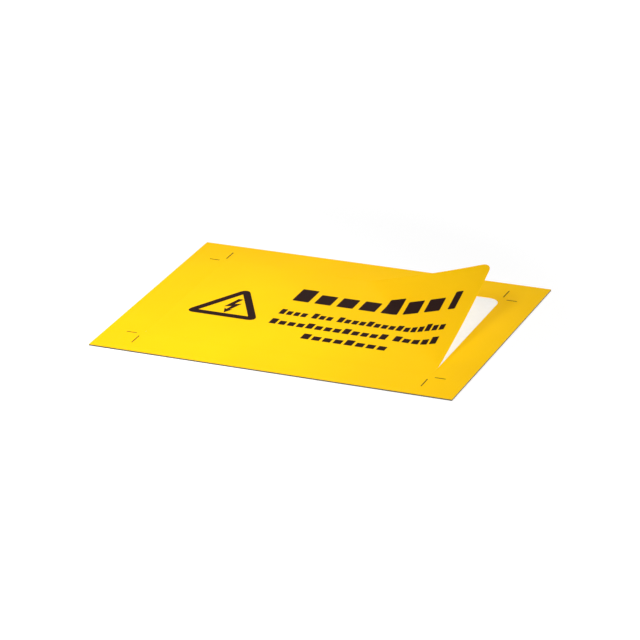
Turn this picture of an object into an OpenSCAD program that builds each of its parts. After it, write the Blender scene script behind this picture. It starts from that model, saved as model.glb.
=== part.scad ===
// A high voltage warning sign as it is supplied: a yellow adhesive label on its white release
// liner, inside the border of film that stays behind. The label's back right corner has been
// peeled up from the liner.
// Millimetres, +Z up. The origin is the middle of the liner's underside, X runs along the print
// and Y from its foot to its head.

/* [Sheet] */
// Width of the whole sheet, along the print
sheet_w = 210; // [190:1:260]
// Depth of the whole sheet
sheet_d = 148; // [130:1:200]
// Thickness of the release liner
liner_t = 0.7; // [0.2:0.05:1]
// Thickness of the yellow film
film_t = 0.2; // [0.1:0.05:0.4]

/* [Label] */
// Width of the cut label
label_w = 168; // [150:1:180]
// Depth of the cut label
label_d = 105; // [90:1:120]
// Radius of the label's corners
label_corner_r = 7; // [2:0.5:12]
// Width of the cut between the label and the border
cut_gap = 0.05; // [0.05:0.05:0.3]

/* [Lifted corner] */
// Direction in which the corner rises, from the label's width towards its depth, in degrees
lift_direction = 40; // [25:1:65]
// Length of film that has come off the liner, measured from the label's square corner
lift_reach = 63; // [40:1:75]
// Radius of the bend where the film leaves the liner
bend_r = 19; // [8:1:40]
// Angle through which that bend turns the film, in degrees
bend_angle = 19; // [8:1:30]
// Radius of the slight curl of the rest of the lifted film
curl_r = 455; // [150:5:1200]

/* [Symbol] */
// Thickness of the printed ink
ink_t = 0.05; // [0.02:0.01:0.1]
// Distance from the label's sides to the print
print_margin = 10.5; // [6:0.5:16]
// Side of the warning triangle, to its square corners
triangle_side = 45; // [30:0.5:50]
// Radius of the triangle's outer corners
triangle_corner_r = 3.7; // [0.5:0.1:4]
// Width of the triangle's border
triangle_border = 4.3; // [2:0.1:5]
// Height of the lightning bolt
bolt_h = 19; // [10:0.5:20]
// Height of the bolt's middle above the triangle's
bolt_rise = 1.5; // [0:0.1:3]

/* [Printed rows] */
// Distance from the symbol to the rows of blocks
row_gap = 9.2; // [6:0.1:14]
// Height of the tall blocks of the heading
heading_h = 16; // [10:0.5:18]
// Height of the tall blocks of the smaller rows
row_h = 6.6; // [4:0.2:8]
// Distance from one small row to the next
row_pitch = 13; // [9:0.5:14]
// Distance from the foot of the first small row to the foot of the heading
heading_rise = 18.7; // [13:0.5:20]
// Width of the narrow block that ends the heading
heading_end_w = 4.5; // [3:0.1:8]
// Gap before that block
heading_end_gap = 5; // [3:0.1:8]
// Share of a block's pitch that is inked
ink_share = 0.74; // [0.5:0.02:0.86]
// Extra space between two groups of blocks, as a share of a block's pitch
group_space = 0.5; // [0.3:0.1:1]
// Height of a low block, as a share of a tall one
low_share = 0.74; // [0.6:0.02:0.9]

/* [Cut marks] */
// Length of the cut marks that run along the sheet's width
wide_mark_l = 6; // [4:0.5:12]
// Length of the cut marks that run along the sheet's depth
deep_mark_l = 9; // [4:0.5:12]
// Width of a cut mark
mark_w = 0.55; // [0.2:0.05:0.8]
// Distance from the label's edges to a cut mark
mark_gap = 3; // [1:0.5:5]

/* [Hidden] */
$fn = 64;

film_yellow = [0.98, 0.82, 0.02];
liner_white = [0.95, 0.95, 0.93];
ink_black = [0.06, 0.05, 0.05];

label_left = -label_w / 2;
label_right = label_w / 2;
label_front = -label_d / 2;
label_back = label_d / 2;

// The film bends about rulings that run across the lift direction, so a point of the flat label
// moves only by its distance past the line where the film leaves the liner.
lift_dir = [cos(lift_direction), sin(lift_direction)];
lift_start = lift_dir * [label_right, label_back] - lift_reach;
degree = PI / 180;
bend_l = bend_r * bend_angle * degree;
curl_angle = (lift_reach - bend_l) / curl_r / degree;
bend_end = [bend_r * sin(bend_angle), bend_r * (1 - cos(bend_angle))];
film_mid = liner_t + film_t / 2;
film_top = liner_t + film_t;
slice = 1;
tall_every = 4;
far = sheet_w + sheet_d;

// Outlines are split where they cross these distances, so that they follow the bend
bend_steps = 6;
curl_steps = 6;
lift_marks = concat(
    [for (i = [0:bend_steps]) bend_l * i / bend_steps],
    [for (i = [1:curl_steps]) bend_l + (lift_reach - bend_l) * i / curl_steps]);

function past_start(p) = lift_dir * p - lift_start;

// Distance across the plan that a length of lifted film covers
function plan_length(s) =
    s <= 0 ? s
    : s <= bend_l ? bend_r * sin(s / bend_r / degree)
    : bend_end.x + curl_r * (sin(bend_angle + (s - bend_l) / curl_r / degree) - sin(bend_angle));

function lifted(p) = let (s = past_start(p)) p - lift_dir * (s - plan_length(s));

function backwards(list) = [for (i = [len(list) - 1:-1:0]) list[i]];

function split(p, q) =
    let (a = past_start(p), b = past_start(q), marks = a < b ? lift_marks : backwards(lift_marks))
    concat([p], [for (s = marks)
        if (s > min(a, b) + 0.01 && s < max(a, b) - 0.01) p + (q - p) * (s - a) / (b - a)]);

function lifted_outline(points) =
    [for (i = [0:len(points) - 1]) for (p = split(points[i], points[(i + 1) % len(points)])) lifted(p)];

function arc(middle, r, from, to, steps) =
    [for (i = [0:steps]) let (a = from + (to - from) * i / steps) middle + r * [cos(a), sin(a)]];

function rounded_rectangle(left, right, front, back, r, steps) = concat(
    arc([left + r, back - r], r, 180, 90, steps), arc([right - r, back - r], r, 90, 0, steps),
    arc([right - r, front + r], r, 0, -90, steps), arc([left + r, front + r], r, -90, -180, steps));

function rectangle(left, right, front, back) =
    [[left, front], [left, back], [right, back], [right, front]];

// A part of a bent layer, in a frame whose X runs along the film from where the bend starts.
// The layer lies from low to low + thick above the middle of the film.
module arc_layer(r, angle, low, thick) {
    intersection() {
        translate([0, far / 2, r]) rotate([90, 0, 0]) difference() {
            cylinder(r = r - low, h = far, $fn = 180);
            translate([0, 0, -slice]) cylinder(r = r - low - thick, h = far + 2 * slice, $fn = 180);
        }
        translate([0, far / 2, r]) rotate([90, 0, 0]) linear_extrude(far)
            polygon([[0, 0], [0, -r - slice], (r + slice) / cos(angle) * [sin(angle), -cos(angle)]]);
    }
}

// The flat film, its bend and its curl, as one endless layer
module bent_layer(low, thick) {
    translate([lift_dir.x * lift_start, lift_dir.y * lift_start, film_mid]) rotate([0, 0, lift_direction]) {
        translate([-far, -far / 2, low]) cube([far, far, thick]);
        arc_layer(bend_r, bend_angle, low, thick);
        translate([bend_end.x, 0, bend_end.y]) rotate([0, -bend_angle, 0])
            arc_layer(curl_r, curl_angle + 1, low, thick);
    }
}

// Cuts a layer of the label, or of the print on it, to an outline given on the flat label
module label_layer(low, thick, points) {
    intersection() {
        bent_layer(low, thick);
        linear_extrude(far) polygon(lifted_outline(points));
    }
}

module ink(points) {
    label_layer(film_t / 2, ink_t, points);
}

module release_liner() {
    color(liner_white) translate([-sheet_w / 2, -sheet_d / 2, 0]) cube([sheet_w, sheet_d, liner_t]);
}

// The film left round the label, with the label's shape cut out of it
module film_border() {
    w = label_w + 2 * cut_gap;
    d = label_d + 2 * cut_gap;
    r = label_corner_r + cut_gap;
    color(film_yellow) translate([0, 0, liner_t]) difference() {
        translate([-sheet_w / 2, -sheet_d / 2, 0]) cube([sheet_w, sheet_d, film_t]);
        translate([-w / 2, -d / 2 + r, -slice]) cube([w, d - 2 * r, film_t + 2 * slice]);
        translate([-w / 2 + r, -d / 2, -slice]) cube([w - 2 * r, d, film_t + 2 * slice]);
        for (x = [-1, 1], y = [-1, 1])
            translate([x * (w / 2 - r), y * (d / 2 - r), -slice]) cylinder(r = r, h = film_t + 2 * slice);
    }
}

module label_film() {
    outline = rounded_rectangle(label_left, label_right, label_front, label_back, label_corner_r, 12);
    color(film_yellow) label_layer(-film_t / 2, film_t, outline);
}

// An upright triangle with rounded corners about its own middle
function rounded_triangle(side, r) =
    let (out = side / sqrt(3) - 2 * r)
    [for (k = [0:2]) for (p = arc(out * [cos(90 - 120 * k), sin(90 - 120 * k)], r,
        150 - 120 * k, 30 - 120 * k, 8)) p];

// The bolt falls in three strokes, the middle one rising to the right
function bolt(h) = h * [
    [0.02, 0.5], [0.17, 0.5], [0.05, 0.14], [0.25, 0.22], [0.08, -0.27], [0.16, -0.24],
    [0, -0.5], [-0.11, -0.2], [-0.03, -0.25], [0.03, -0.02], [-0.17, -0.11]];

symbol_h = triangle_side * sqrt(3) / 2 - triangle_corner_r;
symbol_w = triangle_side - 2 * triangle_corner_r * (sqrt(3) - 1);
symbol_x = label_left + print_margin + symbol_w / 2;
// A triangle's middle lies a third of its height above its foot
symbol_y = -symbol_h / 2 + triangle_side / sqrt(12);

module printed_symbol() {
    middle = [symbol_x, symbol_y];
    bolt_middle = middle + [0, bolt_rise];
    hole_side = triangle_side - 2 * sqrt(3) * triangle_border;
    color(ink_black) {
        difference() {
            ink([for (p = rounded_triangle(triangle_side, triangle_corner_r)) middle + p]);
            translate([symbol_x, symbol_y, 0]) linear_extrude(far)
                polygon([for (k = [0:2]) hole_side / sqrt(3) * [cos(90 - 120 * k), sin(90 - 120 * k)]]);
        }
        ink([for (p = bolt(bolt_h)) bolt_middle + p]);
    }
}

rows_left = symbol_x + symbol_w / 2 + row_gap;
rows_right = label_right - print_margin;
print_foot = -(2 * row_pitch + heading_rise + heading_h) / 2;

// One row of plain blocks, in groups of so many blocks each, with every fourth block a tall one
module block_row(left, right, foot, tall, groups) {
    pitch = (right - left) / (sum(groups) + (len(groups) - 1) * group_space - (1 - ink_share));
    for (g = [0:len(groups) - 1]) {
        first = sum([for (i = [0:1:g - 1]) groups[i] + group_space]);
        for (i = [0:groups[g] - 1]) {
            x = left + (first + i) * pitch;
            share = i % tall_every == 0 ? 1 : low_share;
            ink(rectangle(x, x + pitch * ink_share, foot, foot + tall * share));
        }
    }
}

function sum(list) = len(list) == 0 ? 0 : list * [for (v = list) 1];

module printed_heading() {
    foot = print_foot + 2 * row_pitch + heading_rise;
    end_left = rows_right - heading_end_w;
    color(ink_black) {
        block_row(rows_left, end_left - heading_end_gap, foot, heading_h, [7]);
        block_row(end_left, rows_right, foot, heading_h, [1]);
    }
}

// The rows are cut from the label's width: two full ones and a short one in the middle
module printed_rows() {
    full = rows_right - rows_left;
    color(ink_black) {
        block_row(rows_left, rows_right, print_foot + 2 * row_pitch, row_h, [4, 3, 15]);
        block_row(rows_left, rows_right, print_foot + row_pitch, row_h, [13, 5]);
        block_row(rows_left + full / 4, rows_right - full / 4, print_foot, row_h, [8]);
    }
}

module printed_cut_marks() {
    wide_mark_x = label_w / 2 + mark_gap + wide_mark_l / 2;
    deep_mark_y = label_d / 2 + mark_gap + deep_mark_l / 2;
    color(ink_black) for (x = [-1, 1], y = [-1, 1]) {
        translate([x * wide_mark_x - wide_mark_l / 2, y * label_d / 2 - mark_w / 2, film_top])
            cube([wide_mark_l, mark_w, ink_t]);
        translate([x * label_w / 2 - mark_w / 2, y * deep_mark_y - deep_mark_l / 2, film_top])
            cube([mark_w, deep_mark_l, ink_t]);
    }
}

release_liner();
film_border();
label_film();
printed_symbol();
printed_heading();
printed_rows();
printed_cut_marks();
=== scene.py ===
"""A self-adhesive high voltage warning label on its release liner, its back right corner peeled up."""

import math

import bpy
from mathutils import Matrix, Vector


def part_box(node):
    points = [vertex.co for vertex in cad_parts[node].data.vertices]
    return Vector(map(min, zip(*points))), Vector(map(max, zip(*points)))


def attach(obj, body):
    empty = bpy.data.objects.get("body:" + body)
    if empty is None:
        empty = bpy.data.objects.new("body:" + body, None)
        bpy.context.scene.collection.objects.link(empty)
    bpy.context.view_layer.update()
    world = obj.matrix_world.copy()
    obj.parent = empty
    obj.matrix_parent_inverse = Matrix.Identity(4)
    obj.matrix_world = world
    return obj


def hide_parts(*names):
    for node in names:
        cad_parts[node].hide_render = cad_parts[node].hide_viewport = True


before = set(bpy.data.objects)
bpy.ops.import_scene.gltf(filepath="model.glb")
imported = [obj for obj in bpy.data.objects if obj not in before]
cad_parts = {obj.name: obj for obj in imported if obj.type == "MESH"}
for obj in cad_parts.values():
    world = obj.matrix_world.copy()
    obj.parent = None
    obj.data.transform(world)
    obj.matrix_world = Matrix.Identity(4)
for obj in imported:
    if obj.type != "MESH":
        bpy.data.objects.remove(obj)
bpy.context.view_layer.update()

# Sizes, in metres

MM = 0.001

sheet_low, sheet_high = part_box("release_liner")
border_low, border_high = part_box("film_border")
label_low, label_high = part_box("label_film")
marks_low, marks_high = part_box("printed_cut_marks")

LINER_TOP = sheet_high.z
FILM_TOP = border_high.z
FILM_THICKNESS = FILM_TOP - LINER_TOP
FILM_MIDDLE = (FILM_TOP + LINER_TOP) / 2
LABEL_CORNER_RADIUS = 7 * MM
CUT_GAP = 0.05 * MM
INK_THICKNESS = marks_high.z - FILM_TOP

# The lifted corner of the label
LIFT_DIRECTION = math.radians(40)
LIFT_REACH = 63 * MM
BEND_RADIUS = 19 * MM
BEND_ANGLE = math.radians(19)
CURL_RADIUS = 455 * MM

# The warning triangle, to its square corners, and its bolt
TRIANGLE_SIDE = 45 * MM
TRIANGLE_CORNER_RADIUS = 3.7 * MM
TRIANGLE_BORDER = 4.3 * MM
BOLT_HEIGHT = 19 * MM
BOLT_RISE = 1.5 * MM

# The printed rows of plain blocks
PRINT_MARGIN = 10.5 * MM
ROW_GAP = 9.2 * MM
HEADING_HEIGHT = 16 * MM
ROW_HEIGHT = 6.6 * MM
ROW_PITCH = 13 * MM
HEADING_RISE = 18.7 * MM
HEADING_END_WIDTH = 4.5 * MM
HEADING_END_GAP = 5 * MM
INK_SHARE = 0.74
GROUP_SPACE = 0.5
LOW_SHARE = 0.74
TALL_EVERY = 4

# The cut marks outside the label's corners
WIDE_MARK_LENGTH = 6 * MM
DEEP_MARK_LENGTH = 9 * MM
MARK_WIDTH = 0.55 * MM
MARK_GAP = 3 * MM

# The camera, from the photograph's corners: where it stands round the sheet and what it looks at
CAMERA_TURN = math.radians(24.7)
CAMERA_RISE = math.radians(24.2)
CAMERA_ROLL = math.radians(-2.4)
CAMERA_DISTANCE = 1817 * MM
CAMERA_AIM = Vector((0, -3.7 * MM, 0.3 * MM))
CAMERA_LENS = 188
SENSOR_WIDTH = 36

# The lamps: a small one close above the front left, and a large one farther off to the right
KEY_PLACE = (-0.05, -0.06, 0.22)
KEY_AIM = (-0.19, -0.1, 0)
KEY_SIZE = 0.14
KEY_POWER = 0.47
SIDE_PLACE = (1.65, -1.2, 1.65)
SIDE_SIZE = 0.9
SIDE_POWER = 70
SKY_STRENGTH = 0.12


# Shader maths


class Socket:
    """An output socket that can be used in sums."""

    def __init__(self, material, link):
        self.material = material
        self.link = link

    def _maths(self, operation, a, b):
        return self.material.node("ShaderNodeMath", {"operation": operation}, a, b)

    def __add__(self, other):
        return self._maths("ADD", self, other)

    def __radd__(self, other):
        return self._maths("ADD", other, self)

    def __sub__(self, other):
        return self._maths("SUBTRACT", self, other)

    def __rsub__(self, other):
        return self._maths("SUBTRACT", other, self)

    def __mul__(self, other):
        return self._maths("MULTIPLY", self, other)

    def __rmul__(self, other):
        return self._maths("MULTIPLY", other, self)


class Material:
    """A node material about one Principled shader."""

    def __init__(self, name):
        self.data = bpy.data.materials.new(name)
        self.data.use_nodes = True
        self.nodes = self.data.node_tree.nodes
        self.links = self.data.node_tree.links
        self.shader = self.nodes["Principled BSDF"]
        self.place = self.node("ShaderNodeTexCoord", {}, output="Object")

    def node(self, kind, settings, *values, output=None, **named):
        node = self.nodes.new(kind)
        for setting, value in settings.items():
            setattr(node, setting, value)
        for index, value in enumerate(values):
            self.feed(node.inputs[index], value)
        for name, value in named.items():
            self.feed(node.inputs[name.replace("_", " ")], value)
        return Socket(self, node.outputs[output] if output else node.outputs[0])

    def feed(self, socket, value):
        if isinstance(value, Socket):
            self.links.new(value.link, socket)
        else:
            socket.default_value = value

    def set(self, **values):
        for name, value in values.items():
            self.feed(self.shader.inputs[name.replace("_", " ")], value)

    def noise(self, size, detail=2.0, roughness=0.5):
        """Soft noise from 0 to 1 with features about size metres across."""
        return self.node("ShaderNodeTexNoise", {}, Vector=self.place, Scale=1 / size, Detail=detail,
                         Roughness=roughness)

    def ramp(self, value, low, high, to_low=0.0, to_high=1.0):
        """The value's range from low to high, spread over to_low to to_high."""
        return self.node("ShaderNodeMapRange", {}, value, low, high, to_low, to_high)

    def mix(self, share, first, second):
        settings = {"data_type": "RGBA"}
        node = self.nodes.new("ShaderNodeMix")
        for setting, value in settings.items():
            setattr(node, setting, value)
        self.feed(node.inputs["Factor"], share)
        self.feed(node.inputs[6], first)
        self.feed(node.inputs[7], second)
        return Socket(self, node.outputs[2])

    def bump(self, height, distance, strength=1.0):
        normal = self.node("ShaderNodeBump", {}, Height=height, Distance=distance, Strength=strength)
        self.set(Normal=normal)


def linear(red, green, blue):
    """An sRGB colour, from 0 to 255, as the linear colour that a socket takes."""
    def one(value):
        share = value / 255
        return share / 12.92 if share <= 0.04045 else ((share + 0.055) / 1.055) ** 2.4
    return one(red), one(green), one(blue), 1.0


def yellow_film():
    """Through-coloured vinyl: even warm yellow, soft gloss, a very fine grain and shallow waves."""
    material = Material("yellow film")
    cloud = material.noise(60 * MM)
    speckle = material.noise(0.5 * MM, 3)
    colour = material.mix(material.ramp(cloud, 0.35, 0.65), linear(243, 189, 1), linear(247, 194, 2))
    material.set(Base_Color=colour, Roughness=material.ramp(speckle, 0.3, 0.7, 0.46, 0.54))
    material.set(Specular_IOR_Level=0.05)
    material.bump(cloud * 0.6 + speckle * 0.004, 1 * MM)
    return material.data


def bare_film():
    """The film's uncoloured underside: off-white, cloudy and shiny with adhesive."""
    material = Material("bare film")
    cloud = material.noise(18 * MM, 2)
    grain = material.noise(0.6 * MM, 2)
    colour = material.mix(material.ramp(cloud, 0.35, 0.65), linear(241, 238, 224), linear(246, 243, 231))
    material.set(Base_Color=colour, Roughness=material.ramp(grain, 0.3, 0.7, 0.32, 0.4))
    material.bump(cloud + grain * 0.02, 0.03 * MM)
    return material.data


def painted_edge_shade():
    """The liner's cut side, coloured dark grey-brown to paint the shade and contact shadow along the sheet's
    edge.
    """
    material = Material("painted edge shade")
    fibre = material.noise(0.3 * MM, 3)
    # Painted shade: these dark colours stand for the shade along the sheet's edge, not the paper's own colour
    colour = material.mix(material.ramp(fibre, 0.3, 0.7), linear(92, 87, 70), linear(112, 106, 88))
    material.set(Base_Color=colour, Roughness=0.9)
    material.set(Specular_IOR_Level=0.1)
    return material.data


def release_paper():
    """White coated paper with a faint fibre cloud."""
    material = Material("release paper")
    cloud = material.noise(4 * MM, 4, 0.6)
    fibre = material.noise(0.4 * MM, 2)
    colour = material.mix(material.ramp(cloud, 0.3, 0.7), linear(248, 248, 247), linear(252, 252, 251))
    material.set(Base_Color=colour, Roughness=material.ramp(fibre, 0.3, 0.7, 0.42, 0.55))
    material.bump(cloud * 0.5 + fibre * 0.1, 0.03 * MM)
    return material.data


def black_ink():
    """Screen-printed ink: near black, satin, with a trace of mottle."""
    material = Material("black ink")
    mottle = material.noise(0.8 * MM, 3)
    colour = material.mix(material.ramp(mottle, 0.3, 0.7), linear(26, 9, 6), linear(34, 13, 9))
    material.set(Base_Color=colour, Roughness=material.ramp(mottle, 0.3, 0.7, 0.4, 0.52))
    material.set(Specular_IOR_Level=0.02)
    material.bump(mottle, 0.01 * MM)
    return material.data


# Mesh helpers


def select_none():
    if bpy.context.object and bpy.context.object.mode != "OBJECT":
        bpy.ops.object.mode_set(mode="OBJECT")
    bpy.ops.object.select_all(action="DESELECT")


def start_piece(name):
    """An empty mesh object in edit mode, to add outlines to."""
    select_none()
    bpy.ops.mesh.primitive_plane_add(size=1)
    piece = bpy.context.object
    piece.name = name
    bpy.ops.object.mode_set(mode="EDIT")
    bpy.ops.mesh.delete(type="VERT")
    return piece


def select_faces(piece, wanted):
    """Leaves the faces that are wanted selected, in edit mode."""
    bpy.ops.mesh.select_all(action="DESELECT")
    bpy.ops.object.mode_set(mode="OBJECT")
    for face in piece.data.polygons:
        face.select = wanted(face)
    bpy.ops.object.mode_set(mode="EDIT")


def add_rectangle(left, right, front, back, corner_radius=0.0, segments=8):
    """A flat face between those edges, with rounded corners. It is left selected alone."""
    bpy.ops.mesh.select_all(action="DESELECT")
    bpy.ops.mesh.primitive_plane_add(size=1)
    bpy.ops.transform.resize(value=(right - left, back - front, 1))
    bpy.ops.transform.translate(value=((left + right) / 2, (front + back) / 2, 0))
    if corner_radius:
        bpy.ops.mesh.bevel(affect="VERTICES", offset=corner_radius, segments=segments, clamp_overlap=False)


def add_triangle(middle, side, corner_radius=0.0, segments=8):
    """A flat upright triangle about its middle, with rounded corners. It is left selected alone."""
    bpy.ops.mesh.select_all(action="DESELECT")
    bpy.ops.mesh.primitive_circle_add(vertices=3, radius=side / math.sqrt(3), fill_type="NGON")
    bpy.ops.transform.translate(value=(middle.x, middle.y, 0))
    if corner_radius:
        # The bevel starts this far from the square corner, where the arc touches the side
        cut = corner_radius * math.sqrt(3)
        bpy.ops.mesh.bevel(affect="VERTICES", offset=cut, segments=segments, clamp_overlap=False)


def fill_between_outlines():
    """Turns faces that lie in each other into one face with holes."""
    bpy.ops.mesh.select_all(action="SELECT")
    bpy.ops.mesh.delete(type="ONLY_FACE")
    bpy.ops.mesh.select_all(action="SELECT")
    bpy.ops.mesh.fill(use_beauty=True)


def cut_along(normal, distances):
    """Cuts every face by lines square to normal at those distances from the origin."""
    for distance in distances:
        bpy.ops.mesh.select_all(action="SELECT")
        bpy.ops.mesh.bisect(plane_co=normal * distance, plane_no=normal, threshold=0.001 * MM)


def close_piece(piece, low, thickness):
    """Leaves edit mode and gives the flat faces their thickness, upwards from low."""
    bpy.ops.mesh.select_all(action="SELECT")
    bpy.ops.mesh.remove_doubles(threshold=0.002 * MM)
    select_faces(piece, lambda face: face.normal.z < 0)
    bpy.ops.mesh.flip_normals()
    bpy.ops.object.mode_set(mode="OBJECT")
    solid = piece.modifiers.new("thickness", "SOLIDIFY")
    solid.thickness = thickness
    solid.offset = 1
    bpy.ops.object.modifier_apply(modifier=solid.name)
    piece.data.transform(Matrix.Translation((0, 0, low)))


def paint(piece, highest):
    """Gives a flat piece's second material to the faces whose normals rise no more than highest."""
    for face in piece.data.polygons:
        face.material_index = 1 if face.normal.z < highest else 0


SIDES_TOO = 0.5
UNDERSIDE_ONLY = -0.5


def finish_piece(piece, *nodes, materials, slot):
    """Smooth shading between the sharp edges, materials, and the piece's place on the part."""
    bpy.ops.object.shade_smooth_by_angle(angle=math.radians(30))
    for material in materials:
        piece.data.materials.append(material)
    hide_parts(*nodes)
    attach(piece, "root")


# The bent film

lift_axis = Vector((math.cos(LIFT_DIRECTION), math.sin(LIFT_DIRECTION), 0))
LIFT_START = lift_axis.dot(Vector((label_high.x, -label_low.y, 0))) - LIFT_REACH
BEND_LENGTH = BEND_RADIUS * BEND_ANGLE


def lifted(point):
    """Where a point of the flat label lies once its corner is lifted: its height stays square to the film."""
    past = lift_axis.dot(point) - LIFT_START
    if past <= 0:
        return point
    turned = min(past, BEND_LENGTH) / BEND_RADIUS
    along = BEND_RADIUS * math.sin(turned)
    up = BEND_RADIUS * (1 - math.cos(turned))
    if past > BEND_LENGTH:
        turned = BEND_ANGLE + (past - BEND_LENGTH) / CURL_RADIUS
        along += CURL_RADIUS * (math.sin(turned) - math.sin(BEND_ANGLE))
        up += CURL_RADIUS * (math.cos(BEND_ANGLE) - math.cos(turned))
    height = point.z - FILM_MIDDLE
    moved = point + lift_axis * (along - past - height * math.sin(turned))
    moved.z = FILM_MIDDLE + up + height * math.cos(turned)
    return moved


def lift_lines():
    """Distances at which the film is cut so that it can bend: close in the bend, wider past it."""
    before = [LIFT_START - 6 * MM, LIFT_START - 1 * MM]
    bend = [LIFT_START + BEND_LENGTH * step / 16 for step in range(17)]
    rest = LIFT_REACH - BEND_LENGTH
    return before + bend + [LIFT_START + BEND_LENGTH + rest * step / 20 for step in range(1, 20)]


def lift_piece(piece):
    for vertex in piece.data.vertices:
        vertex.co = lifted(vertex.co)


# The pieces


def release_liner():
    piece = start_piece("release_liner_sheet")
    add_rectangle(sheet_low.x, sheet_high.x, sheet_low.y, sheet_high.y)
    close_piece(piece, 0, LINER_TOP)
    # The sides take the dark edge colour, a painted shade along the sheet's edge
    paint(piece, SIDES_TOO)
    finish_piece(piece, "release_liner", materials=[paper, edge_shade_material], slot="release_liner")


def film_border():
    """The film left round the label: the sheet's outline with the label's cut out of it."""
    piece = start_piece("film_border_sheet")
    add_rectangle(border_low.x, border_high.x, border_low.y, border_high.y)
    right = label_high.x + CUT_GAP
    back = -label_low.y + CUT_GAP
    add_rectangle(-right, right, -back, back, LABEL_CORNER_RADIUS + CUT_GAP, 16)
    fill_between_outlines()
    close_piece(piece, LINER_TOP, FILM_THICKNESS)
    paint(piece, UNDERSIDE_ONLY)
    finish_piece(piece, "film_border", materials=[film, bare], slot="film_border")


def label():
    piece = start_piece("label_sheet")
    add_rectangle(label_low.x, label_high.x, label_low.y, -label_low.y, LABEL_CORNER_RADIUS, 16)
    cut_along(lift_axis, lift_lines())
    close_piece(piece, LINER_TOP, FILM_THICKNESS)
    paint(piece, UNDERSIDE_ONLY)
    lift_piece(piece)
    finish_piece(piece, "label_film", materials=[film, bare], slot="label_film")


triangle_height = TRIANGLE_SIDE * math.sqrt(3) / 2 - TRIANGLE_CORNER_RADIUS
triangle_width = TRIANGLE_SIDE - 2 * TRIANGLE_CORNER_RADIUS * (math.sqrt(3) - 1)
symbol_middle = Vector((label_low.x + PRINT_MARGIN + triangle_width / 2,
                        TRIANGLE_SIDE / math.sqrt(12) - triangle_height / 2, 0))

# The bolt falls in three strokes, in shares of its height
BOLT = [(0.02, 0.5), (0.17, 0.5), (0.05, 0.14), (0.25, 0.22), (0.08, -0.27), (0.16, -0.24),
        (0, -0.5), (-0.11, -0.2), (-0.03, -0.25), (0.03, -0.02), (-0.17, -0.11)]


def add_bolt(middle, height):
    """The bolt's outline is a circle of as many points, each moved to its place."""
    bpy.ops.mesh.select_all(action="DESELECT")
    bpy.ops.mesh.primitive_circle_add(vertices=len(BOLT), radius=height, fill_type="NGON")
    bpy.ops.object.mode_set(mode="OBJECT")
    mesh = bpy.context.object.data
    corners = [vertex for vertex in mesh.vertices if vertex.select]
    for vertex, (across, up) in zip(corners, BOLT):
        vertex.co = middle + Vector((across, up, 0)) * height
    bpy.ops.object.mode_set(mode="EDIT")


def symbol():
    piece = start_piece("printed_symbol_ink")
    add_triangle(symbol_middle, TRIANGLE_SIDE, TRIANGLE_CORNER_RADIUS)
    add_triangle(symbol_middle, TRIANGLE_SIDE - 2 * math.sqrt(3) * TRIANGLE_BORDER)
    fill_between_outlines()
    add_bolt(symbol_middle + Vector((0, BOLT_RISE, 0)), BOLT_HEIGHT)
    close_piece(piece, FILM_TOP, INK_THICKNESS)
    finish_piece(piece, "printed_symbol", materials=[ink], slot="print")


rows_left = symbol_middle.x + triangle_width / 2 + ROW_GAP
rows_right = label_high.x - PRINT_MARGIN
print_foot = -(2 * ROW_PITCH + HEADING_RISE + HEADING_HEIGHT) / 2


def add_row(left, right, foot, tall, groups):
    """One row of blocks, in groups of so many blocks each, with every fourth block a tall one."""
    pitch = (right - left) / (sum(groups) + (len(groups) - 1) * GROUP_SPACE - (1 - INK_SHARE))
    place = 0
    for group in groups:
        for index in range(group):
            height = tall if index % TALL_EVERY == 0 else tall * LOW_SHARE
            x = left + place * pitch
            add_rectangle(x, x + pitch * INK_SHARE, foot, foot + height, tall * 0.04, 3)
            place += 1
        place += GROUP_SPACE


def printed_blocks(name, node, rows):
    piece = start_piece(name)
    for row in rows:
        add_row(*row)
    cut_along(lift_axis, lift_lines())
    close_piece(piece, FILM_TOP, INK_THICKNESS)
    lift_piece(piece)
    finish_piece(piece, node, materials=[ink], slot="print")


def cut_marks():
    """Two short lines outside each of the label's corners, in line with its sides."""
    piece = start_piece("printed_cut_marks_ink")
    half = MARK_WIDTH / 2
    side = label_high.x
    end = -label_low.y
    for x in (-1, 1):
        for y in (-1, 1):
            wide = sorted((x * (side + MARK_GAP), x * (side + MARK_GAP + WIDE_MARK_LENGTH)))
            add_rectangle(*wide, y * end - half, y * end + half)
            deep = sorted((y * (end + MARK_GAP), y * (end + MARK_GAP + DEEP_MARK_LENGTH)))
            add_rectangle(x * side - half, x * side + half, *deep)
    close_piece(piece, FILM_TOP, INK_THICKNESS)
    finish_piece(piece, "printed_cut_marks", materials=[ink], slot="print")


# The studio


def floor():
    """White paper that takes the sheet's shadow, and is as white to the eye far from the lamps as near them."""
    select_none()
    bpy.ops.mesh.primitive_plane_add(size=6)
    ground = bpy.context.object
    ground.name = "studio_floor"
    material = Material("studio floor")
    material.set(Base_Color=linear(238, 238, 238), Roughness=0.9, Specular_IOR_Level=0.0)
    seen = material.node("ShaderNodeLightPath", {}, output="Is Camera Ray")
    lamp_foot = (KEY_PLACE[0], KEY_PLACE[1], 0)
    away = material.node("ShaderNodeVectorMath", {"operation": "DISTANCE"}, material.place, lamp_foot,
                         output="Value")
    near = material.ramp(away, 0.08, 0.3, 0, 0.42)
    glow = near + material.ramp(away, 0.2, 0.7, 0, 0.3) + material.ramp(away, 0.7, 2.5, 0, 0.5)
    material.set(Emission_Color=seen * glow, Emission_Strength=1)
    ground.data.materials.append(material.data)


def softbox(name, place, aim, size, power):
    """A square lamp that faces the point aim."""
    data = bpy.data.lights.new(name, "AREA")
    data.shape = "SQUARE"
    data.size = size
    data.energy = power
    lamp = bpy.data.objects.new(name, data)
    bpy.context.scene.collection.objects.link(lamp)
    lamp.location = place
    lamp.rotation_euler = (Vector(aim) - Vector(place)).to_track_quat("-Z", "Y").to_euler()


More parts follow.
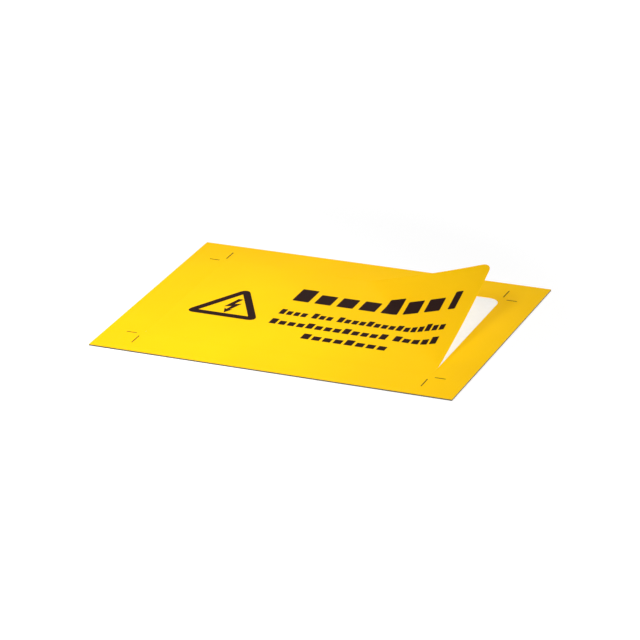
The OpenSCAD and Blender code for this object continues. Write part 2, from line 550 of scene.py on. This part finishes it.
def backdrop_white(nodes, links, lit, output):
    """Puts plain white before the eye, glossy rays and transmitted rays, and keeps lit for the rest."""
    white = nodes.new("ShaderNodeBackground")
    path = nodes.new("ShaderNodeLightPath")
    either = nodes.new("ShaderNodeMath")
    either.operation = "MAXIMUM"
    links.new(path.outputs["Is Camera Ray"], either.inputs[0])
    links.new(path.outputs["Is Glossy Ray"], either.inputs[1])
    any_of_three = nodes.new("ShaderNodeMath")
    any_of_three.operation = "MAXIMUM"
    links.new(either.outputs[0], any_of_three.inputs[0])
    links.new(path.outputs["Is Transmission Ray"], any_of_three.inputs[1])
    mixed = nodes.new("ShaderNodeMixShader")
    links.new(any_of_three.outputs[0], mixed.inputs[0])
    links.new(lit.outputs[0], mixed.inputs[1])
    links.new(white.outputs[0], mixed.inputs[2])
    links.new(mixed.outputs[0], output.inputs[0])
    white.inputs["Color"].default_value = (1, 1, 1, 1)
    white.inputs["Strength"].default_value = 1


def lights():
    world = bpy.data.worlds.new("studio")
    bpy.context.scene.world = world
    world.use_nodes = True
    nodes = world.node_tree.nodes
    sky = nodes["Background"]
    sky.inputs["Color"].default_value = (1, 1, 1, 1)
    sky.inputs["Strength"].default_value = SKY_STRENGTH
    backdrop_white(nodes, world.node_tree.links, sky, nodes["World Output"])
    softbox("key_lamp", KEY_PLACE, KEY_AIM, KEY_SIZE, KEY_POWER)
    softbox("side_lamp", SIDE_PLACE, (0, 0, 0), SIDE_SIZE, SIDE_POWER)


def camera():
    data = bpy.data.cameras.new("camera")
    data.lens = CAMERA_LENS
    data.sensor_width = SENSOR_WIDTH
    eye = bpy.data.objects.new("camera", data)
    bpy.context.scene.collection.objects.link(eye)
    back = Vector((math.sin(CAMERA_TURN) * math.cos(CAMERA_RISE),
                   -math.cos(CAMERA_TURN) * math.cos(CAMERA_RISE), math.sin(CAMERA_RISE)))
    eye.location = CAMERA_AIM + back * CAMERA_DISTANCE
    eye.rotation_mode = "QUATERNION"
    level = (-back).to_track_quat("-Z", "Y")
    eye.rotation_quaternion = level @ Matrix.Rotation(CAMERA_ROLL, 3, "Z").to_quaternion()
    bpy.context.scene.camera = eye


film = yellow_film()
bare = bare_film()
paper = release_paper()
# The liner's sides get a painted edge shade
edge_shade_material = painted_edge_shade()
ink = black_ink()

release_liner()
film_border()
label()
symbol()
heading_foot = print_foot + 2 * ROW_PITCH + HEADING_RISE
end_left = rows_right - HEADING_END_WIDTH
printed_blocks("printed_heading_ink", "printed_heading", [
    (rows_left, end_left - HEADING_END_GAP, heading_foot, HEADING_HEIGHT, [7]),
    (end_left, rows_right, heading_foot, HEADING_HEIGHT, [1])])
quarter = (rows_right - rows_left) / 4
printed_blocks("printed_rows_ink", "printed_rows", [
    (rows_left, rows_right, print_foot + 2 * ROW_PITCH, ROW_HEIGHT, [4, 3, 15]),
    (rows_left, rows_right, print_foot + ROW_PITCH, ROW_HEIGHT, [13, 5]),
    (rows_left + quarter, rows_right - quarter, print_foot, ROW_HEIGHT, [8])])
cut_marks()

floor()
lights()
camera()

bpy.context.scene.view_settings.view_transform = "Standard"
